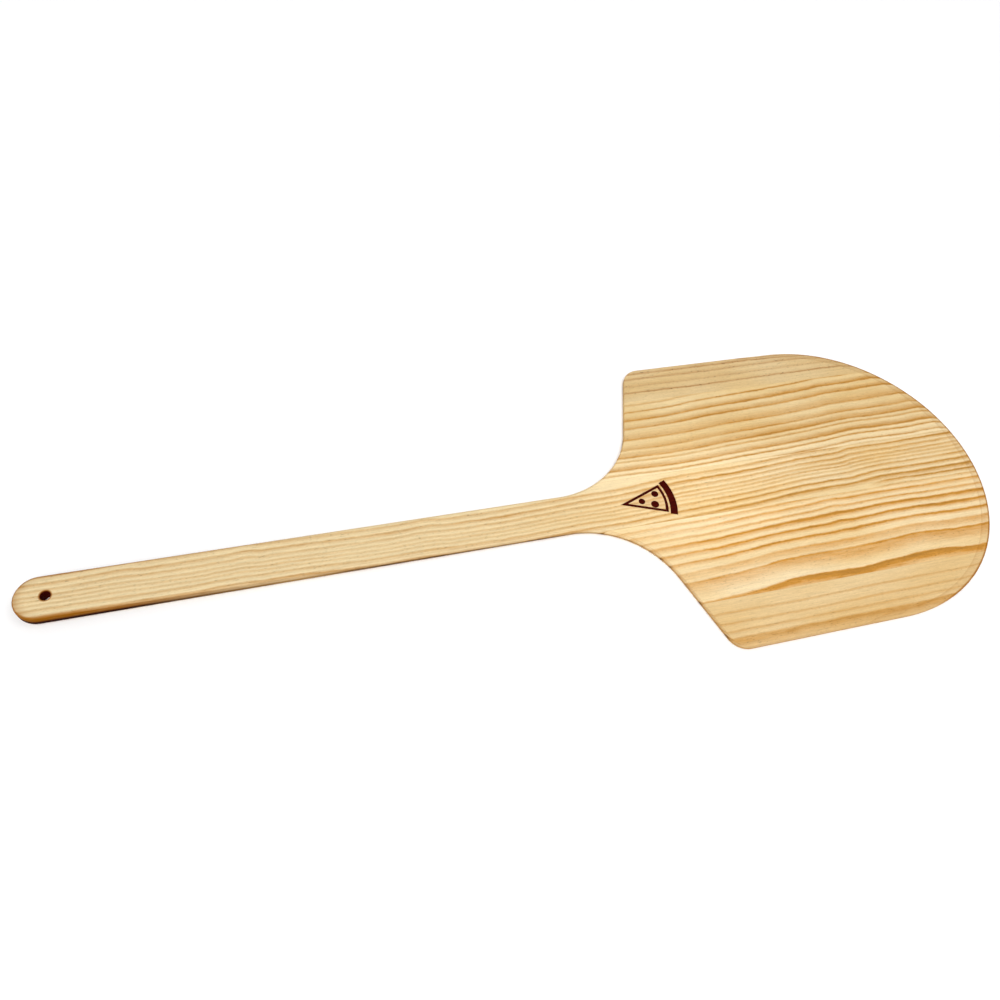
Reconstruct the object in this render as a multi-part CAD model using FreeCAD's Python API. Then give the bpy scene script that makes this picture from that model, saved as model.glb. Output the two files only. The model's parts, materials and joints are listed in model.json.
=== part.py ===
"""Wooden pizza peel: a flat blade and a long handle, edge-glued from five boards.

The peel lies on its flat underside. +X runs from the grip's end to the blade's
front edge, +Y across it and +Z up. The origin is on the underside, midway along
the length and on the centre line. All sizes are in millimetres.
"""
import FreeCAD, Part
import math
import os

from FreeCAD import Placement, Rotation, Vector

# Outline, seen from above.
OVERALL_LENGTH = 914.4
BLADE_WIDTH = 320.0
HANDLE_WIDTH = 40.0
SHOULDER_START = 585.5        # grip end to where the sides and the shoulders would meet
SHOULDER_SLOPE = 18.3         # degrees that each shoulder leans back from square
NECK_RADIUS = 91.0
SHOULDER_RADIUS = 19.0

# The top is planed to one long slope, from the grip down to the front edge.
GRIP_THICKNESS = 12.0
FRONT_THICKNESS = 3.0

# Edge rounding: fuller on the handle, slight around the blade.
HANDLE_TOP_ROUND = 3.0
HANDLE_UNDER_ROUND = 3.0
BLADE_TOP_ROUND = 1.0
BLADE_UNDER_ROUND = 1.2

# The sanded bevel on top of the curved front edge, which runs out along the sides.
BEVEL_WIDTH = 10.0
BEVEL_SIDE_WIDTH = 7.0
BEVEL_SLOPE = 0.168           # drop for each millimetre of width
BEVEL_RUNOUT = 42.0
BEVEL_OVERCUT = 12.0          # how far the bevel's cutter reaches past the edge
RUNOUT_SWEEP = 1.5            # how far the cutter turns, as a multiple of the run-out

# The hanging hole.
HOLE_DIAMETER = 8.5
HOLE_FROM_END = 26.0
HOLE_EASING = 0.4             # chamfer at each mouth

# Boards, named from the left edge (+Y) to the right edge (-Y), and the glue lines
# between them. Each joint is given by its distance from the centre line.
JOINT_LEFT_OUTER = 119.0
JOINT_LEFT_INNER = 28.0
JOINT_RIGHT_INNER = -25.5
JOINT_RIGHT_OUTER = -113.0
GLUE_THICKNESS = 0.15
BOARDS = (
    "left_edge_board",
    "left_board",
    "centre_board_with_handle",
    "right_board",
    "right_edge_board",
)
GLUE_LINES = (
    "glue_line_left_outer",
    "glue_line_left_inner",
    "glue_line_right_inner",
    "glue_line_right_outer",
)

# The burnt-in pictogram of a pizza slice, sunk a little into the centre board.
MARK_DEPTH = 0.3
MARK_TIP_FROM_END = 529.0     # grip end to the slice's point
MARK_RADIUS = 55.0            # point to the crust's outer edge
MARK_HALF_ANGLE = 20.0        # degrees from the centre line to each cut side
MARK_LINE = 2.6               # width of the slice's outline
MARK_CRUST = 7.0              # width of the crust band
MARK_CRUST_OVERHANG = 1.5     # degrees that the crust reaches past each cut side
MARK_GAP = 1.8                # bare wood between the crust and the slice
# Each topping's distance from the slice's point, its distance across, and its radius.
MARK_TOPPINGS = ((21.5, 0.2, 3.2), (33.2, -5.0, 3.9), (36.8, 6.2, 3.5))

CLEARANCE = 5.0               # how far a cutting solid stands past what it cuts
COINCIDENT = 0.01             # points nearer than this are taken as one

half_length = OVERALL_LENGTH / 2
half_blade = BLADE_WIDTH / 2
half_handle = HANDLE_WIDTH / 2
grip_end = -half_length
front_end = half_length
front_centre = front_end - half_blade
top_slope = (GRIP_THICKNESS - FRONT_THICKNESS) / OVERALL_LENGTH
top_angle = math.degrees(math.atan(top_slope))


def top_height(x):
    """Height of the planed top face at a place along the peel."""
    return GRIP_THICKNESS - top_slope * (x - grip_end)


def on_top(shape):
    """Move a shape drawn about Z = 0 so that Z = 0 becomes the sloping top face."""
    shape.Placement = Placement(Vector(0, 0, top_height(0)), Rotation(Vector(0, 1, 0), top_angle))
    return shape


def line(start, end):
    return Part.LineSegment(start, end).toShape()


def arc(centre, radius, start_angle, end_angle):
    """Arc in the XY plane. Angles are in degrees, from +X towards +Y."""
    points = []
    for angle in (start_angle, (start_angle + end_angle) / 2, end_angle):
        turn = math.radians(angle)
        points.append(centre + Vector(radius * math.cos(turn), radius * math.sin(turn), 0))
    return Part.Arc(*points).toShape()


def polygon_face(points):
    return Part.Face(Part.makePolygon(points + points[:1]))


def side_edges():
    """Edges of the left half of the outline, from the grip's tip to the front's tip."""
    slope = math.radians(SHOULDER_SLOPE)
    turn = 90.0 - SHOULDER_SLOPE
    half_turn = math.radians(turn / 2)
    along_shoulder = Vector(math.sin(slope), math.cos(slope), 0)
    corner = Vector(grip_end + SHOULDER_START, half_blade, 0)
    inner_corner = Vector(corner.x - (half_blade - half_handle) * math.tan(slope), half_handle, 0)

    neck_reach = NECK_RADIUS * math.tan(half_turn)
    neck_start = inner_corner - Vector(neck_reach, 0, 0)
    neck_centre = neck_start + Vector(0, NECK_RADIUS, 0)
    neck_end = inner_corner + along_shoulder * neck_reach

    corner_reach = SHOULDER_RADIUS * math.tan(half_turn)
    corner_start = corner - along_shoulder * corner_reach
    corner_end = corner + Vector(corner_reach, 0, 0)
    corner_centre = corner_end - Vector(0, SHOULDER_RADIUS, 0)

    grip_centre = Vector(grip_end + half_handle, 0, 0)
    side_end = Vector(front_centre, half_blade, 0)
    return [
        arc(grip_centre, half_handle, 180, 90),
        line(grip_centre + Vector(0, half_handle, 0), neck_start),
        arc(neck_centre, NECK_RADIUS, -90, -90 + turn),
        line(neck_end, corner_start),
        arc(corner_centre, SHOULDER_RADIUS, 90 + turn, 90),
        line(corner_end, side_end),
        arc(Vector(front_centre, 0, 0), half_blade, 90, 0),
    ]


def mirrored(edges):
    return [edge.mirror(Vector(0, 0, 0), Vector(0, 1, 0)) for edge in edges]


def wedge_blank():
    """The whole peel before rounding: the outline cut through a long flat wedge."""
    left = side_edges()
    outline = Part.Wire(Part.__sortEdges__(left + mirrored(left)))
    prism = Part.Face(outline).extrude(Vector(0, 0, GRIP_THICKNESS + CLEARANCE))
    low_x = grip_end - CLEARANCE
    high_x = front_end + CLEARANCE
    profile = polygon_face([
        Vector(low_x, -BLADE_WIDTH, 0),
        Vector(high_x, -BLADE_WIDTH, 0),
        Vector(high_x, -BLADE_WIDTH, top_height(high_x)),
        Vector(low_x, -BLADE_WIDTH, top_height(low_x)),
    ])
    return prism.common(profile.extrude(Vector(0, 2 * BLADE_WIDTH, 0)))


def rounded(blank):
    """Round the outline's top and bottom edges, easing from handle to blade at the neck."""
    document = FreeCAD.newDocument("rounding")
    base = document.addObject("Part::Feature", "Blank")
    base.Shape = blank
    fillet = document.addObject("Part::Fillet", "Rounded")
    fillet.Base = base
    neck_start = side_edges()[1].BoundBox.XMax
    neck_end = side_edges()[2].BoundBox.XMax
    radii = []
    for number, edge in enumerate(blank.Edges, start=1):
        first = edge.valueAt(edge.FirstParameter)
        last = edge.valueAt(edge.LastParameter)
        if math.hypot(first.x - last.x, first.y - last.y) < COINCIDENT:
            continue
        upper = max(first.z, last.z) > COINCIDENT
        handle_round = HANDLE_TOP_ROUND if upper else HANDLE_UNDER_ROUND
        blade_round = BLADE_TOP_ROUND if upper else BLADE_UNDER_ROUND
        ends = []
        for point in (first, last):
            share = (point.x - neck_start) / (neck_end - neck_start)
            share = min(max(share, 0), 1)
            ends.append(handle_round + share * (blade_round - handle_round))
        radii.append((number, ends[0], ends[1]))
    fillet.Edges = radii
    document.recompute()
    shape = fillet.Shape.copy()
    FreeCAD.closeDocument(document.Name)
    return shape


def bevel_cutter():
    """Solid above the bevel: a cone round the front, and a reversed cone at each run-out."""
    shift = BEVEL_WIDTH - BEVEL_SIDE_WIDTH
    centre_x = front_centre - shift
    inner_radius = half_blade - BEVEL_SIDE_WIDTH
    lead = CLEARANCE / 2
    up = Vector(0, 0, 1)

    def blade_section(first_y, sense):
        inner_y = first_y - sense * lead
        outer_y = first_y + sense * (BEVEL_WIDTH + BEVEL_OVERCUT)
        return polygon_face([
            Vector(centre_x, inner_y, BEVEL_SLOPE * lead),
            Vector(centre_x, outer_y, -BEVEL_SLOPE * (BEVEL_WIDTH + BEVEL_OVERCUT)),
            Vector(centre_x, outer_y, CLEARANCE),
            Vector(centre_x, inner_y, CLEARANCE),
        ])

    cutters = [blade_section(-inner_radius, -1).revolve(Vector(centre_x, 0, 0), up, 180)]
    runout_radius = (BEVEL_RUNOUT ** 2 + BEVEL_SIDE_WIDTH ** 2) / (2 * BEVEL_SIDE_WIDTH)
    runout_turn = RUNOUT_SWEEP * math.degrees(math.asin(BEVEL_RUNOUT / runout_radius))
    for side in (1, -1):
        axis = Vector(centre_x, side * (inner_radius + runout_radius), 0)
        section = blade_section(side * inner_radius, side)
        cutters.append(section.revolve(axis, up, -side * runout_turn))
    return on_top(cutters[0].fuse(cutters[1:]))


def hanging_hole():
    """The drill's path through the grip, with an eased mouth at the top and the bottom."""
    x = grip_end + HOLE_FROM_END
    radius = HOLE_DIAMETER / 2
    height = top_height(x)
    reach = radius + HOLE_EASING
    drill = Part.makeCylinder(radius, height + 2 * CLEARANCE, Vector(x, 0, -CLEARANCE))
    lower = Part.makeCone(reach + CLEARANCE, radius, HOLE_EASING + CLEARANCE, Vector(x, 0, -CLEARANCE))
    upper = Part.makeCone(radius, reach + CLEARANCE, HOLE_EASING + CLEARANCE, Vector(x, 0, 0))
    upper.translate(Vector(0, 0, height - HOLE_EASING))
    return drill.fuse([lower, upper])


def slice_area(inner, outer, half_angle):
    """Flat pie-slice band between two radii about the slice's point at the origin."""
    turn = math.radians(half_angle)
    corners = {}
    for name, radius in (("inner", inner), ("outer", outer)):
        for sign in (1, -1):
            corners[name, sign] = Vector(radius * math.cos(turn), sign * radius * math.sin(turn), 0)
    edges = [
        arc(Vector(0, 0, 0), outer, -half_angle, half_angle),
        line(corners["outer", 1], corners["inner", 1]),
        line(corners["inner", -1], corners["outer", -1]),
    ]
    if inner > 0:
        edges.append(arc(Vector(0, 0, 0), inner, half_angle, -half_angle))
    return Part.Face(Part.Wire(Part.__sortEdges__(edges)))


def burnt_mark():
    """The sunk pictogram: a crust band, the outline of the slice and its toppings."""
    cheese = MARK_RADIUS - MARK_CRUST - MARK_GAP
    crust = slice_area(MARK_RADIUS - MARK_CRUST, MARK_RADIUS, MARK_HALF_ANGLE + MARK_CRUST_OVERHANG)
    slice_face = slice_area(0, cheese, MARK_HALF_ANGLE)
    tip_inset = MARK_LINE / math.sin(math.radians(MARK_HALF_ANGLE))
    inset = slice_area(0, cheese - MARK_LINE - tip_inset, MARK_HALF_ANGLE)
    inset.translate(Vector(tip_inset, 0, 0))
    faces = [crust, slice_face.cut(inset)]
    for along, across, radius in MARK_TOPPINGS:
        circle = Part.makeCircle(radius, Vector(along, across, 0))
        faces.append(Part.Face(Part.Wire(circle)))
    solids = []
    for face in faces:
        face.translate(Vector(grip_end + MARK_TIP_FROM_END, 0, -MARK_DEPTH))
        solids.append(face.extrude(Vector(0, 0, MARK_DEPTH + CLEARANCE)))
    return on_top(solids[0].fuse(solids[1:]))


def between(peel, low_y, high_y):
    """The part of the peel between two distances from the centre line.

    The peel is the same on both sides, so what lies on the right is cut on the left and mirrored.
    """
    if high_y < 0:
        return between(peel, -high_y, -low_y).mirror(Vector(0, 0, 0), Vector(0, 1, 0))
    length = OVERALL_LENGTH + 2 * CLEARANCE
    height = GRIP_THICKNESS + 2 * CLEARANCE
    corner = Vector(grip_end - CLEARANCE, low_y, -CLEARANCE)
    return peel.common(Part.makeBox(length, high_y - low_y, height, corner))


def main():
    os.makedirs("parts", exist_ok=True)
    peel = rounded(wedge_blank())
    peel = peel.cut(bevel_cutter())
    peel = peel.cut(hanging_hole())

    half_glue = GLUE_THICKNESS / 2
    outside = half_blade + CLEARANCE
    joints = [JOINT_LEFT_OUTER, JOINT_LEFT_INNER, JOINT_RIGHT_INNER, JOINT_RIGHT_OUTER]
    for name, upper, lower in zip(BOARDS, [outside] + joints, joints + [-outside]):
        board = between(peel, lower + half_glue, upper - half_glue)
        if name == "centre_board_with_handle":
            board = board.cut(burnt_mark())
        save(name, board)

    for name, joint in zip(GLUE_LINES, joints):
        save(name, between(peel, joint - half_glue, joint + half_glue))


def save(name, shape):
    """Write one solid as the node of that name."""
    solid = shape.removeSplitter().Solids[0]
    assert len(shape.Solids) == 1 and solid.isValid(), name
    solid.exportStep("parts/" + name + ".step")
    print(name, round(solid.Volume / 1000, 1), "cm3", len(solid.Faces), "faces")


main()
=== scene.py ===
"""Looks of a wooden pizza peel, glued up from five pine boards.

The CAD boards and glue lines stay as they are and get solid wood materials: the
growth rings run through each board in three dimensions, so the top, the bevel, the
edges and the underside all show the same rings. The one piece made here is the layer
of charred wood in the burnt-in pictogram.
"""
import json
import math

import bpy
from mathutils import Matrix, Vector


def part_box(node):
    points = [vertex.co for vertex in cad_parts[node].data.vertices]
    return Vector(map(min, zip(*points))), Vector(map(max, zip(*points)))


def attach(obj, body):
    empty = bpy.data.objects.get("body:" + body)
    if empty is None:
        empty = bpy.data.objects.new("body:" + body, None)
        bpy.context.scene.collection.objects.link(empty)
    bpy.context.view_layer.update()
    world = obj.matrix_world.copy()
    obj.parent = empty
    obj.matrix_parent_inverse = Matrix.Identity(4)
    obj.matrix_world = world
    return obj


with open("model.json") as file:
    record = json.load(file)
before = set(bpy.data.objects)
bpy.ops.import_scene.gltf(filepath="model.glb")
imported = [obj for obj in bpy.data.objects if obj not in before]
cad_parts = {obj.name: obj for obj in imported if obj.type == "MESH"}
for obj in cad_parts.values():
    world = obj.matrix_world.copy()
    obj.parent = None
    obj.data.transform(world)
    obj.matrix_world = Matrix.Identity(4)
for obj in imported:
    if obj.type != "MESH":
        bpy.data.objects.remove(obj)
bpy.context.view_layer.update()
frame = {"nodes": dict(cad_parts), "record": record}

MM = 0.001

# Sizes read from the CAD model.
low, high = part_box("centre_board_with_handle")
LENGTH = (high.x - low.x) / MM
GRIP_END = low.x / MM
GRIP_THICKNESS = high.z / MM
HOLE = Vector(frame["record"]["mounts"][0]["pos_m"]) / MM
HOLE_RADIUS = frame["record"]["mounts"][0]["dims"]["r_mm"]

# The top face slopes from the grip to the front edge, where the planed wedge is this thick.
FRONT_THICKNESS = 3.0
TOP_SLOPE = (GRIP_THICKNESS - FRONT_THICKNESS) / LENGTH

HALF_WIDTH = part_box("left_edge_board")[1].y / MM      # of the blade, and its front's radius
FRONT_CENTRE = GRIP_END + LENGTH - HALF_WIDTH
HALF_HANDLE = 20.0

# Places along the peel, in millimetres from the grip's end.
HANDLE_END = 480.0
NECK = 600.0
SHOULDER = (570.0, 690.0)             # over which a board's rings gain their full darkness
HANDLE_WOOD = (600.0, 330.0)          # over which the centre board turns to the handle's wood
GRIP_SIDES_BROWN_AND_SHADE = (230.0, 90.0)          # over which the handle's cut sides turn golden brown, partly painted shade
BROWNED_TIP = (120.0, 40.0)           # over which the handle's outline turns brown, partly painted shade on its rounded edge
BROWNED_FAR_SIDE = (330.0, 200.0)     # the same, along its left side
BROWNED_END = (22.0, 4.0)             # over which the top turns brown at the very end
DARK_SIDES = (540.0, 470.0)           # over which the cut sides turn from blade to handle
FRONT_EDGE_SHADE = (20.0, 60.0)          # past the front arc's centre, where its edge takes more painted shade

# How much painted light brightens the wood round the neck: by how much there and
# elsewhere, over which distances from the neck, and how much faster across the peel than along it.
PAINTED_NECK_LIGHT_TONES = (1.035, 1.17)
PAINTED_NECK_LIGHT_REACH = (160.0, 10.0)
PAINTED_NECK_LIGHT_NARROWING = 2.5

# The burnt pictogram: a pizza slice whose point is this far from the grip's end.
MARK_TIP = 529.0
MARK_RADIUS = 55.0
MARK_HALF_ANGLE = 20.0
MARK_DEPTHS = (0.2, 0.4)              # its floor lies between these depths
CHAR_HALF_THICKNESS = 0.06

# Display colours, from 0 to 255.
# Brown for the top's edges: partly painted shade on the rounded edges, the blade's front and the
# bevel.
EDGE_BROWN_AND_SHADE = (152, 92, 4)
# Colours of the upright cut sides: partly the cut wood's own darker colour, partly painted shade.
# The darkest, for the foot of the grip's sides, is painted shade.
CUT_BLADE = (190, 142, 80)
CUT_HANDLE = (138, 96, 36)
CUT_LATE_WOOD = (58, 24, 2)
CUT_GRIP = (138, 82, 0)
GRIP_FOOT_SHADE = (36, 0, 0)
HOLE_RIM = (150, 88, 8)
# Painted shade inside the drilled hole.
HOLE_SHADE = (84, 10, 1)
SCORCHED = (170, 104, 46)
MARK_FLOOR = (70, 30, 12)
GLUE_PALE = (214, 178, 118)
GLUE_DARK = (196, 156, 96)
GLUE_CUT = (140, 86, 28)
CHAR_BLACK = (52, 1, 1)
CHAR_BROWN = (80, 15, 4)
CHAR_PATCHES = (46, 4, 2)
PALE_FLOOR = (253, 253, 253)

WOOD_SPECULAR = 0.02
CHAR_SPECULAR = 0.04
FLOOR_SPECULAR = 0.1

# Which noise a seed is for, added to ten times the board's own seed.
SWAY, KINKS, FUZZ, SLOW, STREAKS, FIBRES, PORES, CLOUDS, UNEVEN, QUICK = range(10)
PATCHY, SPECKLE = 91, 92
GLUE_MOTTLE = 91
CHAR_GRAIN, CHAR_BLOTCHES = 71, 72


def top_height(x):
    """Height in millimetres of the planed top face, x millimetres from the middle."""
    return GRIP_THICKNESS - TOP_SLOPE * (x - GRIP_END)


def colour(red, green, blue):
    """A display colour, 0 to 255, as the linear colour that a shader takes."""
    linear = []
    for value in (red, green, blue):
        share = value / 255
        if share <= 0.04045:
            linear.append(share / 12.92)
        else:
            linear.append(((share + 0.055) / 1.055) ** 2.4)
    return (*linear, 1.0)


class Shader:
    """A material's node tree, with a short method for each kind of node that is used."""

    def __init__(self, name):
        self.material = bpy.data.materials.new(name)
        self.material.use_nodes = True
        self.tree = self.material.node_tree
        self.surface = self.tree.nodes["Principled BSDF"]
        coordinates = self.add("ShaderNodeTexCoord")
        place = self.add("ShaderNodeVectorMath", {"operation": "SCALE"},
                         Vector=coordinates.outputs["Object"], Scale=1 / MM)
        split = self.add("ShaderNodeSeparateXYZ", Vector=place.outputs[0])
        self.x, self.y, self.z = split.outputs
        split = self.add("ShaderNodeSeparateXYZ", Vector=coordinates.outputs["Normal"])
        self.facing = self.math("ABSOLUTE", split.outputs[2])
        top = self.math("MULTIPLY_ADD", self.x, -TOP_SLOPE, top_height(0))
        self.depth = self.math("SUBTRACT", top, self.z)

    def add(self, kind, settings=None, **inputs):
        node = self.tree.nodes.new(kind)
        for name, value in (settings or {}).items():
            setattr(node, name, value)
        for name, value in inputs.items():
            self.set(node.inputs[name], value)
        return node

    def set(self, socket, value):
        if isinstance(value, bpy.types.NodeSocket):
            self.tree.links.new(value, socket)
        else:
            socket.default_value = value

    def math(self, operation, *values):
        node = self.add("ShaderNodeMath", {"operation": operation})
        for socket, value in zip(node.inputs, values):
            self.set(socket, value)
        return node.outputs[0]

    def blend(self, share, first, second, mode="MIX"):
        node = self.add("ShaderNodeMix", {"data_type": "RGBA", "blend_type": mode})
        self.set(node.inputs[0], share)
        self.set(node.inputs[6], first)
        self.set(node.inputs[7], second)
        return node.outputs[2]

    def ramp(self, value, start, end, first=0.0, last=1.0, smooth=False):
        kind = "SMOOTHSTEP" if smooth else "LINEAR"
        node = self.add("ShaderNodeMapRange", {"interpolation_type": kind}, Value=value)
        for number, limit in enumerate((start, end, first, last), start=1):
            self.set(node.inputs[number], limit)
        return node.outputs[0]

    def along(self, places, first=0.0, last=1.0):
        """A ramp between two places along the peel, given from the grip's end."""
        start, end = places
        return self.ramp(self.x, GRIP_END + start, GRIP_END + end, first, last)

    def length(self, first, second_squared):
        """The square root of the first value's square and another square."""
        return self.math("SQRT", self.math("MULTIPLY_ADD", first, first, second_squared))

    def noise(self, lengths, seed, detail=2.0, roughness=0.5):
        """Noise from 0 to 1, whose blobs are about as long as given along x, y and z."""
        axes = (self.x, self.y, self.z)
        scaled = [self.math("DIVIDE", axis, length) for axis, length in zip(axes, lengths)]
        place = self.add("ShaderNodeCombineXYZ", X=scaled[0], Y=scaled[1], Z=scaled[2])
        node = self.add("ShaderNodeTexNoise", {"noise_dimensions": "4D"}, Vector=place.outputs[0],
                        W=float(seed), Scale=1.0, Detail=detail, Roughness=roughness)
        return node.outputs[0]

    def finish(self, base, rough, height, bump_strength, specular):
        """Connect the surface. The bump's height is in millimetres."""
        bump = self.add("ShaderNodeBump", Height=height, Distance=MM, Strength=bump_strength)
        self.set(self.surface.inputs["Base Color"], base)
        self.set(self.surface.inputs["Roughness"], rough)
        self.set(self.surface.inputs["Normal"], bump.outputs[0])
        self.surface.inputs["Specular IOR Level"].default_value = specular

    def curve(self, value, points, reach):
        """A smooth curve through (distance from the grip's end, value) points."""
        share = self.ramp(value, GRIP_END, GRIP_END + LENGTH)
        node = self.add("ShaderNodeFloatCurve", Value=share)
        line = node.mapping.curves[0]
        for number, (along, offset) in enumerate(points):
            place = (along / LENGTH, 0.5 + 0.5 * offset / reach)
            if number < 2:
                line.points[number].location = place
            else:
                line.points.new(*place)
        node.mapping.update()
        return self.ramp(node.outputs[0], 0.0, 1.0, -reach, reach)


# Each board: the pith it was sawn beside (across, and below the top face), its wood's
# colours, how its grain drifts sideways along the length, as (distance from the grip's
# end, drift) points for its right and left side, and its dark rings. A ring is where its
# sharp outer edge meets the top face near the front, the darkness and width of its band,
# the darkness of the line along its edge, and how far from the grip's end it begins.
# "shoulder" is how much of the rings' darkness is left towards the handle, and "flecks"
# is how dark the flecks are.
BOARDS = {
    "centre_board_with_handle": {
        "seed": 1,
        "shoulder": 0.88,
        "pith": (-150.0, -55.0),
        "early": (232, 209, 165),
        "late": (194, 142, 70),
        "flecks": 0.22,
        "sides": (-20.0, 20.0),
        "right": ((0, -12.5), (45, -12.1), (87, -13.0), (125, -13.0), (145, -13.2), (160, -11.9),
                  (180, -11.4), (200, -12.6), (210, -12.3), (260, -14.1), (300, -15.2),
                  (340, -14.7), (360, -15.8), (410, -16.1), (440, -15.4), (475, -13.9),
                  (525, -13.5), (600, -10.5), (650, -8.5), (675, -6.9), (700, -5.0), (740, -3.5),
                  (768, -3.3), (788, -1.8), (818, 0.0), (850, -1.0), (880, -1.1), (914, 0.0)),
        "left": ((0, -12.0), (45, -12.7), (87, -11.0), (100, -12.4), (145, -12.4), (175, -12.0),
                 (183, -11.1), (200, -12.7), (260, -14.2), (310, -15.1), (345, -13.7),
                 (360, -15.6), (405, -16.4), (440, -15.4), (480, -14.2), (525, -13.3),
                 (600, -8.7), (650, -7.8), (700, -5.1), (740, -3.0), (768, -2.9),
                 (786, -0.2), (820, 0.0), (850, 0.2), (880, 0.8), (914, 2.0)),
        "rings": ((31.0, 0.55, 3.5, 0.3, 0), (24.6, 0.75, 3.4, 0.35, 0),
                  (18.4, 0.55, 3.0, 0.3, 0),
                  (12.9, 0.45, 2.6, 0.3, 0), (8.8, 0.4, 2.2, 0.35, 0), (4.9, 0.35, 2.2, 0.25, 0),
                  (0.3, 0.55, 2.8, 0.35, 0), (-5.8, 0.7, 3.2, 0.4, 0), (-12.4, 0.85, 4.2, 0.3, 0),
                  (-18.3, 0.7, 3.2, 0.5, 785), (-24.6, 0.55, 3.2, 0.3, 0),
                  (-31.4, 0.5, 3.4, 0.3, 0)),
    },
    "left_board": {
        "seed": 2,
        "shoulder": 0.8,
        "pith": (135.0, -35.0),
        "early": (223, 198, 150),
        "late": (190, 137, 66),
        "flecks": 0.22,
        "sides": (35.0, 108.0),
        "right": ((0, -9.0), (550, -9.0), (605, -9.9), (640, -8.9), (660, -7.6), (685, -6.9),
                  (715, -5.8), (750, -3.8), (776, -2.0), (808, 0.0), (828, -0.8), (862, -1.2),
                  (890, 0.2), (914, -1.0)),
        "left": ((0, -13.5), (555, -13.5), (600, -13.0), (622, -11.8), (640, -9.8), (665, -8.2),
                 (700, -6.8), (725, -5.8), (750, -4.2), (777, -2.2), (803, 0.0), (822, -0.2),
                 (840, 0.8), (868, 2.2), (914, 3.0)),
        "rings": ((127.3, 0.35, 2.0, 0.3, 0), (118.6, 0.35, 1.8, 0.85, 0),
                  (107.3, 0.8, 4.6, 0.35, 0),
                  (97.0, 0.7, 4.8, 0.35, 0), (82.6, 0.6, 8.0, 0.4, 0), (70.7, 0.55, 5.5, 0.3, 0),
                  (61.0, 0.75, 6.0, 0.3, 0), (56.0, 0.3, 2.2, 0.6, 0), (46.1, 0.75, 5.5, 0.3, 0),
                  (40.6, 0.35, 2.4, 0.75, 0), (33.0, 0.38, 3.2, 0.6, 0), (26.5, 0.45, 3.2, 0.4, 0)),
    },
    "right_board": {
        "seed": 3,
        "shoulder": 0.6,
        "pith": (-135.0, -35.0),
        "early": (236, 213, 170),
        "late": (203, 143, 62),
        "flecks": 0.22,
        "sides": (-105.0, -30.0),
        "right": ((0, -10.5), (565, -10.3), (590, -9.2), (622, -7.4), (640, -5.6), (652, -3.8),
                  (668, -2.3), (690, -2.5), (715, -3.7), (736, -4.2), (757, -2.6), (778, -1.5),
                  (802, 0.1), (817, 0.0), (840, -2.0), (857, -3.4), (880, -3.6), (914, -3.6)),
        "left": ((0, -7.0), (550, -7.0), (580, -6.2), (600, -6.6), (622, -5.6), (650, -4.2),
                 (680, -3.2), (700, -2.1), (722, -1.2), (736, 0.3), (755, -0.5), (785, 0.0),
                 (812, 0.0), (840, -0.4), (870, -0.2), (914, -0.4)),
        "rings": ((-23.6, 0.5, 3.2, 0.4, 0), (-30.2, 0.6, 3.8, 0.3, 0), (-37.8, 0.5, 2.6, 0.4, 0),
                  (-44.2, 1.0, 4.4, 0.35, 0), (-53.1, 0.95, 4.0, 0.45, 0),
                  (-62.5, 0.85, 3.6, 0.5, 0),
                  (-72.2, 0.55, 7.0, 0.15, 0), (-81.6, 0.75, 11.0, 0.4, 0),
                  (-102.2, 1.15, 9.0, 0.1, 0)),
    },
    "left_edge_board": {
        "seed": 4,
        "shoulder": 1.0,
        "pith": (172.0, -60.0),
        "early": (213, 187, 141),
        "late": (178, 137, 88),
        "flecks": 0.5,
        "sides": (120.0, 160.0),
        "right": ((0, -0.4), (590, 0.0), (640, -0.8), (700, -0.2), (760, 0.6), (914, 0.8)),
        "left": ((0, -0.4), (590, -0.2), (680, 0.0), (740, 0.9), (914, 1.2)),
        "rings": ((130.0, 0.35, 2.0, 0.7, 0), (138.2, 0.3, 3.0, 0.15, 0),
                  (147.2, 0.45, 3.0, 0.3, 0),
                  (154.2, 0.6, 3.2, 0.4, 0), (159.5, 0.6, 2.4, 0.4, 0)),
    },
    "right_edge_board": {
        "seed": 5,
        "shoulder": 1.0,
        "pith": (-180.0, -60.0),
        "early": (222, 193, 144),
        "late": (196, 146, 78),
        "flecks": 0.22,
        "sides": (-160.0, -120.0),
        "right": ((0, 0.0), (590, 0.0), (680, 0.3), (760, -0.2), (914, 0.0)),
        "left": ((0, 0.0), (590, 0.2), (680, -0.8), (735, 0.2), (800, 0.4), (914, 0.2)),
        "rings": ((-125.2, 0.3, 1.8, 0.35, 0), (-135.3, 0.25, 1.8, 0.4, 0),
                  (-143.2, 0.3, 2.4, 0.25, 0),
                  (-150.0, 0.85, 8.0, 0.0, 0)),
    },
}
HANDLE_EARLY = (226, 205, 161)
HANDLE_LATE = (200, 161, 108)
INNER_EARLY = (234, 212, 168)         # of the left board, along its joint with the centre board
INNER_STRIP = (60.0, 30.0)            # across which the left board takes that colour
WARM_CLOUD = (0.975, 0.945, 0.88)     # early wood's colour in the warmer clouds, as shares
DEEP_LATE = 0.84                      # the darkest late wood's colour, as a share
DRIFT_REACH = 18.0                    # more than any drift
BAND_SPREAD = 1.6                     # how far a dark band fades in, as a share of its width
INNER_RING_SPACING = 9.0              # of rings nearer the pith, seen only underneath
INNER_RINGS = 3
RING_START_LENGTH = 25.0              # over which a ring that doesn't run the whole way begins


def grain_drift(shader, board):
    """How far the grain has wandered sideways, following the curves of the board's sides."""
    right = shader.curve(shader.x, board["right"], DRIFT_REACH)
    left = shader.curve(shader.x, board["left"], DRIFT_REACH)
    share = shader.ramp(shader.y, *board["sides"])
    return shader.math("MULTIPLY_ADD", share, shader.math("SUBTRACT", left, right), right)


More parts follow.
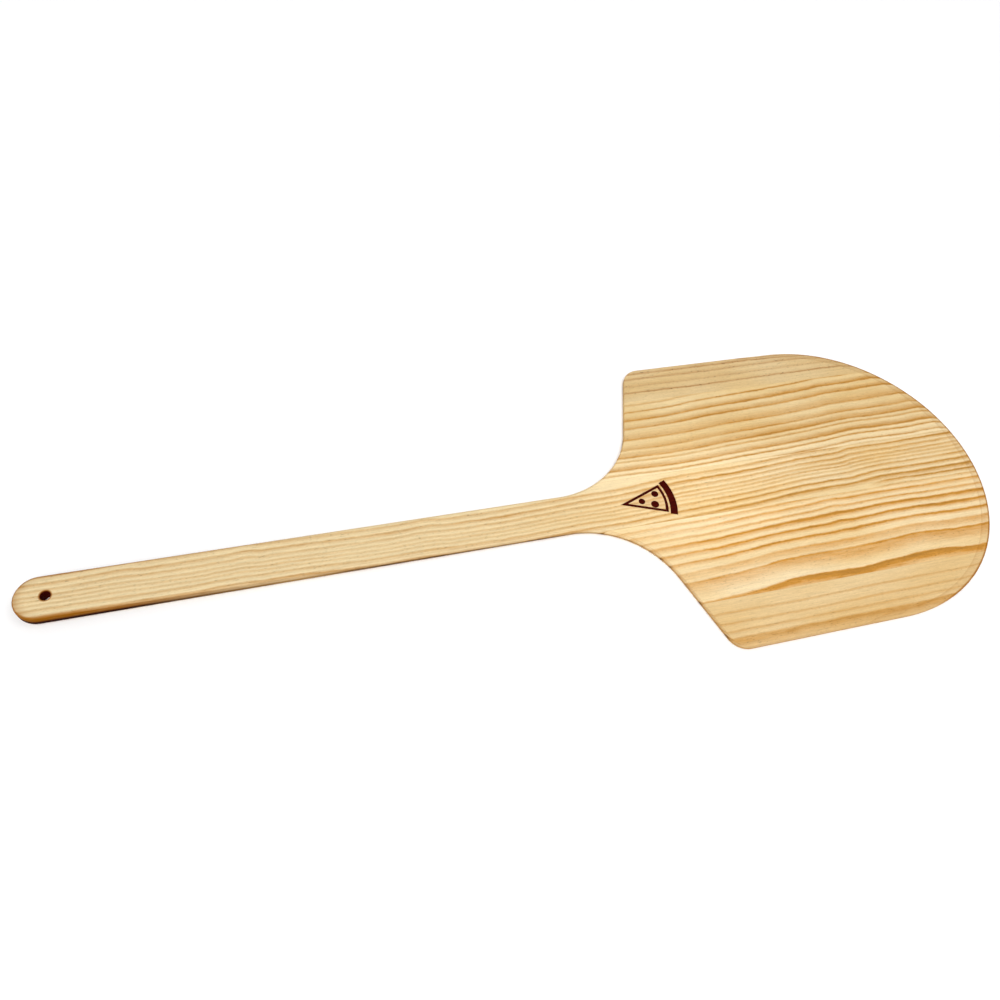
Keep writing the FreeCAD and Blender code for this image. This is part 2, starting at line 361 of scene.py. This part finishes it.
def ring_radius(shader, board):
    """Distance in millimetres from the board's pith, with the grain's drift and wobble."""
    seed = board["seed"] * 10
    across, height = board["pith"]
    sway = shader.ramp(shader.noise((90, 40, 40), seed + SWAY, 1.0), 0, 1, -0.9, 0.9)
    kinks = shader.ramp(shader.noise((14, 9, 9), seed + KINKS, 1.0), 0, 1, -0.7, 0.7)
    fuzz = shader.ramp(shader.noise((5.0, 0.5, 0.5), seed + FUZZ, 1.0), 0, 1, -0.75, 0.75)
    place = shader.math("SUBTRACT", shader.y, grain_drift(shader, board))
    for wobble in (sway, kinks, fuzz):
        place = shader.math("ADD", place, wobble)
    sideways = shader.math("SUBTRACT", place, across)
    upwards = shader.math("SUBTRACT", -height, shader.depth)
    return shader.length(upwards, shader.math("MULTIPLY", sideways, sideways))


def late_wood(shader, board, radius):
    """How dark the rings are at each place, from 0 to about 1."""
    across, height = board["pith"]
    rings = []
    for edge, band, width, line, start in board["rings"]:
        reach = math.hypot(edge - across, height)
        squeeze = abs(edge - across) / reach
        rings.append((reach, band, width, line, start, squeeze))
    innermost = min(ring[0] for ring in rings)
    for number in range(INNER_RINGS):
        reach = innermost - (number + 1) * INNER_RING_SPACING
        rings.append((reach, 0.6, 3.5, 0.3, 0, 1.0))
    total = None
    for reach, band, width, line, start, squeeze in rings:
        growing = shader.ramp(radius, reach - BAND_SPREAD * width * squeeze,
                              reach - 0.4 * squeeze, 0.0, band, smooth=True)
        edge_line = shader.ramp(radius, reach - 2.2 * squeeze, reach - 0.2 * squeeze,
                                0.0, 0.85 * line)
        ended = shader.ramp(radius, reach - 0.9 * squeeze, reach + 1.5 * squeeze,
                            1.0, 0.0, smooth=True)
        dark = shader.math("MULTIPLY", shader.math("ADD", growing, edge_line), ended)
        if start:
            dark = shader.math("MULTIPLY", dark, shader.along((start, start + RING_START_LENGTH)))
        total = dark if total is None else shader.math("MAXIMUM", total, dark)
    seed = board["seed"] * 10
    slow = shader.ramp(shader.noise((75, 7, 7), seed + SLOW, 1.0), 0.25, 0.75, 0.85, 1.4)
    quick = shader.ramp(shader.noise((13, 2.2, 2.2), seed + QUICK, 2.0), 0.25, 0.75, 0.8, 1.18)
    total = shader.math("MULTIPLY", total, shader.math("MULTIPLY", slow, quick))
    return shader.math("MULTIPLY", total, shader.along(SHOULDER, board["shoulder"], 1.0))


def edge_distance(shader):
    """Distance in millimetres in from the blade's or the handle's outline, seen from above."""
    squares = shader.math("MULTIPLY", shader.y, shader.y)
    past = shader.math("MAXIMUM", shader.math("SUBTRACT", shader.x, FRONT_CENTRE), 0.0)
    blade = shader.math("SUBTRACT", HALF_WIDTH, shader.length(past, squares))
    short = shader.math("SUBTRACT", shader.x, GRIP_END + HALF_HANDLE)
    short = shader.math("MINIMUM", short, 0.0)
    handle = shader.math("SUBTRACT", HALF_HANDLE, shader.length(short, squares))
    on_blade = shader.math("GREATER_THAN", shader.x, GRIP_END + HANDLE_END)
    return shader.math("MULTIPLY_ADD", on_blade, shader.math("SUBTRACT", blade, handle), handle)


def bare_colour(shader, name, board, late):
    """Colour of the early and the late wood, before any streaks."""
    early = colour(*board["early"])
    warm = colour(*(channel * share for channel, share in zip(board["early"], WARM_CLOUD)))
    dark = colour(*board["late"])
    deep = colour(*(channel * DEEP_LATE for channel in board["late"]))
    clouds = shader.noise((110, 30, 30), board["seed"] * 10 + CLOUDS, 2.0)
    base = shader.blend(shader.ramp(clouds, 0.35, 0.65), early, warm)
    if name == "left_board_wood":
        base = shader.blend(shader.ramp(shader.y, *INNER_STRIP), base, colour(*INNER_EARLY))
    if name == "centre_board_wood":
        on_handle = shader.along(HANDLE_WOOD)
        base = shader.blend(on_handle, base, colour(*HANDLE_EARLY))
        dark = shader.blend(on_handle, dark, colour(*HANDLE_LATE))
    base = shader.blend(shader.ramp(late, 0.0, 1.0), base, dark)
    return shader.blend(shader.ramp(late, 0.85, 1.5, 0.0, 0.9), base, deep)


def textured(shader, board, base, late, streaks, fibres, pores):
    """Streaks, fibres, speckles and dark flecks over the wood's colour."""
    speckle = shader.noise((1.8, 0.9, 0.9), board["seed"] * 10 + SPECKLE, 1.0)
    tone = shader.ramp(streaks, 0.3, 0.7, 0.9, 1.06)
    tone = shader.math("MULTIPLY", tone, shader.ramp(fibres, 0.3, 0.7, 0.94, 1.05))
    tone = shader.math("MULTIPLY", tone, shader.ramp(speckle, 0.25, 0.75, 0.96, 1.04))
    flecks = shader.math("MULTIPLY", pores, shader.ramp(late, 0.0, 0.6, 0.6, 1.8))
    flecks = shader.math("MULTIPLY_ADD", flecks, -board["flecks"], 1.0)
    tone = shader.math("MULTIPLY", tone, flecks)
    return shader.blend(1.0, base, tone, "MULTIPLY")


def paint_neck_light(shader, base):
    """Brighten the wood, most of all with a painted pool of light round the neck of the blade."""
    along = shader.math("SUBTRACT", shader.x, GRIP_END + NECK)
    across = shader.math("MULTIPLY", shader.math("MULTIPLY", shader.y, shader.y),
                         PAINTED_NECK_LIGHT_NARROWING)
    tone = shader.ramp(shader.length(along, across), *PAINTED_NECK_LIGHT_REACH, *PAINTED_NECK_LIGHT_TONES, smooth=True)
    base = shader.blend(1.0, base, tone, "MULTIPLY")
    base.node.clamp_result = True
    return base


def brown_edge_and_shade(shader, base, uneven):
    """Brown the edge of the top: round the grip, along the blade's front, and the bevel. The brown
    is partly painted shade on the rounded edges, the front and the bevel.
    """
    edge = edge_distance(shader)
    at_tip = shader.along(BROWNED_TIP)
    far_side = shader.math("MULTIPLY", shader.ramp(shader.y, 5.0, 12.0),
                           shader.along(BROWNED_FAR_SIDE))
    start, end = FRONT_EDGE_SHADE
    on_arc = shader.ramp(shader.x, FRONT_CENTRE + start, FRONT_CENTRE + end)

    reach = shader.ramp(at_tip, 0.0, 1.0, 1.2, 3.0)
    reach = shader.math("MULTIPLY_ADD", far_side, 0.9, reach)
    reach = shader.math("MULTIPLY_ADD", on_arc, 1.3, reach)
    strength = shader.math("MAXIMUM", shader.math("MAXIMUM", on_arc, at_tip), 0.3)
    strength = shader.math("MAXIMUM", strength, shader.math("MULTIPLY", far_side, 0.7))
    outline = shader.ramp(shader.math("DIVIDE", edge, reach), 1.0, 0.25, 0.0, 0.95, smooth=True)
    outline = shader.math("MULTIPLY", outline, strength)

    # painted shade on the bevel
    bevel = shader.ramp(shader.depth, 0.02, 0.12, 0.0, 0.26)
    bevel = shader.math("SUBTRACT", bevel, shader.ramp(shader.depth, 0.15, 0.45, 0.0, 0.14))
    bevel = shader.math("MULTIPLY", bevel, shader.ramp(shader.z, 0.4, 0.8))
    grip = shader.math("MULTIPLY", shader.ramp(edge, 9.0, 0.0, 0.0, 0.6),
                       shader.along(BROWNED_END))
    brown_and_shade = shader.math("MAXIMUM", shader.math("MAXIMUM", outline, bevel), grip)
    return shader.blend(shader.math("MULTIPLY", brown_and_shade, uneven), base, colour(*EDGE_BROWN_AND_SHADE))


def cut_sides_and_shade(shader, base, late, uneven):
    """Darken the upright cut faces, partly as cut wood and partly as painted shade deepening
    downwards, with dark ends of rings; brown the grip's, with painted shade at their foot.
    """
    at_grip = shader.along(GRIP_SIDES_BROWN_AND_SHADE)
    side = shader.ramp(shader.facing, 0.75, 0.3, smooth=True)
    level = shader.math("DIVIDE", shader.z, shader.math("ADD", shader.z, shader.depth))
    # painted shade, deepening towards the bottom of the cut sides
    shade_below = shader.ramp(level, 0.72, 0.38, 0.0, 0.92, smooth=True)
    shade_below = shader.math("MAXIMUM", shade_below, at_grip)
    cut = shader.blend(shader.along(DARK_SIDES), colour(*CUT_BLADE), colour(*CUT_HANDLE))
    cut = shader.blend(shader.ramp(late, 0.3, 0.9), cut, colour(*CUT_LATE_WOOD))
    cut = shader.blend(at_grip, cut, colour(*CUT_GRIP))
    share = shader.math("MULTIPLY", shader.math("MULTIPLY", side, shade_below), uneven)
    base = shader.blend(share, base, cut)
    # painted shade at the foot of the grip's sides
    foot_shade = shader.ramp(level, 0.7, 0.36, 0.0, 1.0, smooth=True)
    foot_shade = shader.math("MULTIPLY", foot_shade, at_grip)
    return shader.blend(shader.math("MULTIPLY", foot_shade, side), base, colour(*GRIP_FOOT_SHADE))


def wood(name, board):
    """Bare sanded pine, cut from a log whose pith lies beside and below the board, with a painted
    pool of light round the neck and painted shade on the edges, cut sides and hole.
    """
    shader = Shader(name)
    seed = board["seed"] * 10
    late = late_wood(shader, board, ring_radius(shader, board))
    streaks = shader.noise((38, 1.1, 1.1), seed + STREAKS, 3.0, 0.6)
    fibres = shader.noise((8, 0.8, 0.8), seed + FIBRES, 2.0, 0.6)
    pores = shader.ramp(shader.noise((3.4, 0.7, 0.7), seed + PORES, 1.0), 0.62, 0.72)
    uneven = shader.ramp(shader.noise((22, 12, 3), seed + UNEVEN, 2.0), 0.3, 0.7, 0.8, 1.03)

    base = bare_colour(shader, name, board, late)
    base = textured(shader, board, base, late, streaks, fibres, pores)
    # painted pool of light round the neck
    base = paint_neck_light(shader, base)
    # brown edges, partly painted shade on the rounded edges and the bevel
    base = brown_edge_and_shade(shader, base, uneven)
    # painted shade on the cut sides, with the cut wood's darker colour
    base = cut_sides_and_shade(shader, base, late, uneven)
    if name == "centre_board_wood":
        # painted shade in the hole, and the scorched pictogram
        base = hole_shade_and_scorch(shader, base, seed)

    rough = shader.ramp(streaks, 0.3, 0.7, 0.52, 0.66)
    rough = shader.math("MULTIPLY_ADD", late, -0.08, rough)
    height = shader.math("MULTIPLY", late, 0.03)
    height = shader.math("MULTIPLY_ADD", fibres, 0.03, height)
    height = shader.math("MULTIPLY_ADD", pores, -0.03, height)
    shader.finish(base, rough, height, 0.6, WOOD_SPECULAR)
    return shader.material


def hole_shade_and_scorch(shader, base, seed):
    """Darken the drilled hole, with painted shade inside it, and the wood round and inside the
    burnt pictogram.
    """
    squares = shader.math("MULTIPLY", shader.y, shader.y)
    from_hole = shader.length(shader.math("SUBTRACT", shader.x, HOLE.x), squares)
    rim = shader.ramp(from_hole, HOLE_RADIUS + 1.8, HOLE_RADIUS + 0.4, 0.0, 0.9, smooth=True)
    base = shader.blend(rim, base, colour(*HOLE_RIM))
    # painted shade inside the drilled hole
    inside = shader.ramp(from_hole, HOLE_RADIUS + 0.35, HOLE_RADIUS + 0.15)
    inside = shader.math("MULTIPLY", inside, shader.ramp(shader.facing, 0.9, 0.6))
    base = shader.blend(inside, base, colour(*HOLE_SHADE))

    from_tip = shader.math("SUBTRACT", shader.x, GRIP_END + MARK_TIP)
    reach = shader.length(from_tip, squares)
    angle = shader.math("ARCTAN2", shader.math("ABSOLUTE", shader.y), from_tip)
    past_side = shader.math("SUBTRACT", angle, math.radians(MARK_HALF_ANGLE))
    past_side = shader.math("MULTIPLY", reach, past_side)
    past_crust = shader.math("SUBTRACT", reach, MARK_RADIUS)
    outside = shader.math("MAXIMUM", past_side, past_crust)
    near_top = shader.ramp(shader.depth, 1.0, 0.8)

    patchy = shader.ramp(shader.noise((6, 3, 3), seed + PATCHY, 2.0), 0.3, 0.7, 0.5, 1.0)
    halo = shader.ramp(outside, 2.2, -0.5, 0.0, 0.28, smooth=True)
    halo = shader.math("MULTIPLY", halo, patchy)
    on_top = shader.math("MULTIPLY", shader.ramp(shader.facing, 0.9, 0.98), near_top)
    base = shader.blend(shader.math("MULTIPLY", halo, on_top), base, colour(*SCORCHED))
    sunk = shader.math("MULTIPLY", shader.ramp(outside, 3.0, 2.9),
                       shader.ramp(shader.depth, 0.02, 0.06))
    sunk = shader.math("MULTIPLY", sunk, near_top)
    return shader.blend(sunk, base, colour(*MARK_FLOOR))


def glue(name):
    """A line of cured wood glue, amber and slightly glossy."""
    shader = Shader(name)
    mottle = shader.noise((14, 3, 1.5), GLUE_MOTTLE, 3.0)
    base = shader.blend(shader.ramp(mottle, 0.3, 0.7), colour(*GLUE_PALE), colour(*GLUE_DARK))
    side = shader.ramp(shader.facing, 0.9, 0.25, smooth=True)
    base = shader.blend(shader.math("MULTIPLY", side, 0.75), base, colour(*GLUE_CUT))
    shader.set(shader.surface.inputs["Base Color"], base)
    shader.set(shader.surface.inputs["Roughness"], shader.ramp(mottle, 0.3, 0.7, 0.4, 0.55))
    return shader.material


def char(name):
    """Charred wood: nearly black where the iron bit deepest, browner along the fibres."""
    shader = Shader(name)
    grain = shader.noise((9, 0.8, 0.8), CHAR_GRAIN, 3.0, 0.6)
    patches = shader.ramp(shader.noise((5, 4, 4), CHAR_BLOTCHES, 2.0), 0.45, 0.75, 0.0, 0.6)
    base = shader.blend(shader.ramp(grain, 0.35, 0.7), colour(*CHAR_BLACK), colour(*CHAR_BROWN))
    base = shader.blend(patches, base, colour(*CHAR_PATCHES))
    height = shader.math("MULTIPLY", grain, 0.08)
    rough = shader.ramp(grain, 0.3, 0.7, 0.75, 0.95)
    shader.finish(base, rough, height, 0.8, CHAR_SPECULAR)
    return shader.material


def dress(node, material):
    """Give a CAD node its material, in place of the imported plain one."""
    for slot in frame["nodes"][node].material_slots:
        slot.material = material


def on_mark_floor(face):
    """Whether a face of the centre board is part of the sunk pictogram's floor."""
    centre = face.center / MM
    shallowest, deepest = MARK_DEPTHS
    past_tip = centre.x - GRIP_END - MARK_TIP
    sunk = top_height(centre.x) - centre.z
    return 0 < past_tip < MARK_RADIUS + 1 and face.normal.z > 0.9 and shallowest < sunk < deepest


def mark_floor(source):
    """Corners of the sunk pictogram's floor, and its faces as rings of corner numbers."""
    places = []
    numbers = {}
    rings = []
    for face in source.polygons:
        if not on_mark_floor(face):
            continue
        ring = []
        for index in face.vertices:
            place = source.vertices[index].co
            key = tuple(round(value / MM, 3) for value in place)
            if key not in numbers:
                numbers[key] = len(places)
                places.append(place)
            ring.append(numbers[key])
        if len(set(ring)) == len(ring):
            rings.append(ring)
    return places, rings


def burnt_layer(material):
    """Charred layer on the floor of the sunk pictogram, a closed sheet let into the wood."""
    places, rings = mark_floor(frame["nodes"]["centre_board_with_handle"].data)
    rise = Vector((0, 0, CHAR_HALF_THICKNESS * MM))
    corners = [place - rise for place in places] + [place + rise for place in places]
    faces = [ring[::-1] for ring in rings]
    faces += [[len(places) + number for number in ring] for ring in rings]
    edges = [edge for ring in rings for edge in zip(ring, ring[1:] + ring[:1])]
    inner = {(end, start) for start, end in edges}
    for start, end in edges:
        if (start, end) not in inner:
            faces.append([start, end, len(places) + end, len(places) + start])
    mesh = bpy.data.meshes.new("burnt_pizza_slice")
    mesh.from_pydata(corners, [], faces)
    layer = bpy.data.objects.new("burnt_pizza_slice", mesh)
    bpy.context.scene.collection.objects.link(layer)
    mesh.materials.append(material)
    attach(layer, "root")


CAMERA_LENS = 29.96           # millimetres, on a sensor 36 wide
SENSOR_WIDTH = 36.0
CAMERA_PLACE = (-0.1981, -0.3717, 0.6556)
CAMERA_TURN = (0.5770, -0.0908, -0.2401)

FLOOR_RADIUS = 40.0           # metres, so that its edge is the horizon
FLOOR_SIDES = 48
FLOOR_GAP = 0.0002            # metres that the floor lies under the peel

SKY_AT_HORIZON = 0.96
SKY_OVERHEAD = 0.38
SKY_OVERHEAD_FROM = 0.6       # sine of the elevation from which the sky is at its darkest
SUN_POWER = 1.93
SUN_SPREAD = 40               # degrees
SUN_TURN = (21, -5, 0)        # degrees, so that it shines from the front
NECK_LIGHT_PLACE = (0.12, 0.02, 0.8)
NECK_LIGHT_TARGET = (0.12, 0.0, 0.0)
NECK_LIGHT_SIZE = 0.45
NECK_LIGHT_POWER = 1.0


def add_camera():
    data = bpy.data.cameras.new("camera")
    data.lens = CAMERA_LENS
    data.sensor_width = SENSOR_WIDTH
    data.clip_start = 0.01
    camera = bpy.data.objects.new("camera", data)
    camera.location = CAMERA_PLACE
    camera.rotation_euler = CAMERA_TURN
    bpy.context.scene.collection.objects.link(camera)
    bpy.context.scene.camera = camera


def add_floor():
    mesh = bpy.data.meshes.new("floor")
    corners = []
    for number in range(FLOOR_SIDES):
        turn = math.tau * number / FLOOR_SIDES
        corners.append((FLOOR_RADIUS * math.cos(turn), FLOOR_RADIUS * math.sin(turn), 0))
    mesh.from_pydata(corners, [], [tuple(range(FLOOR_SIDES))])
    plane = bpy.data.objects.new("floor", mesh)
    plane.location.z = -FLOOR_GAP
    bpy.context.scene.collection.objects.link(plane)
    material = bpy.data.materials.new("pale_floor")
    material.use_nodes = True
    surface = material.node_tree.nodes["Principled BSDF"]
    surface.inputs["Base Color"].default_value = colour(*PALE_FLOOR)
    surface.inputs["Roughness"].default_value = 0.9
    surface.inputs["Specular IOR Level"].default_value = FLOOR_SPECULAR
    mesh.materials.append(material)


def add_sky():
    """A white sky that is brightest at the horizon."""
    world = bpy.data.worlds.new("studio")
    world.use_nodes = True
    tree = world.node_tree
    background = tree.nodes["Background"]
    place = tree.nodes.new("ShaderNodeTexCoord")
    split = tree.nodes.new("ShaderNodeSeparateXYZ")
    brightness = tree.nodes.new("ShaderNodeMapRange")
    tree.links.new(place.outputs["Generated"], split.inputs[0])
    tree.links.new(split.outputs[2], brightness.inputs["Value"])
    tree.links.new(brightness.outputs[0], background.inputs["Strength"])
    brightness.inputs["From Max"].default_value = SKY_OVERHEAD_FROM
    brightness.inputs["To Min"].default_value = SKY_AT_HORIZON
    brightness.inputs["To Max"].default_value = SKY_OVERHEAD
    background.inputs["Color"].default_value = (1.0, 1.0, 1.0, 1.0)
    bpy.context.scene.world = world


def add_lights():
    """A large soft sun from the front, and a soft lamp over the neck."""
    data = bpy.data.lights.new("sun", "SUN")
    data.energy = SUN_POWER
    data.angle = math.radians(SUN_SPREAD)
    sun = bpy.data.objects.new("sun", data)
    sun.rotation_euler = [math.radians(angle) for angle in SUN_TURN]
    bpy.context.scene.collection.objects.link(sun)

    data = bpy.data.lights.new("neck_light", "AREA")
    data.shape = "DISK"
    data.size = NECK_LIGHT_SIZE
    data.energy = NECK_LIGHT_POWER
    lamp = bpy.data.objects.new("neck_light", data)
    lamp.location = NECK_LIGHT_PLACE
    aim = Vector(NECK_LIGHT_TARGET) - Vector(NECK_LIGHT_PLACE)
    lamp.rotation_euler = aim.to_track_quat("-Z", "Y").to_euler()
    bpy.context.scene.collection.objects.link(lamp)


add_camera()
add_floor()
add_sky()
add_lights()
bpy.context.scene.view_settings.view_transform = "Standard"

for node, board in BOARDS.items():
    dress(node, wood("centre_board_wood" if node.startswith("centre") else node + "_wood", board))
glue_material = glue("wood_glue")
for node in frame["nodes"]:
    if node.startswith("glue_line"):
        dress(node, glue_material)
burnt_layer(char("charred_wood"))
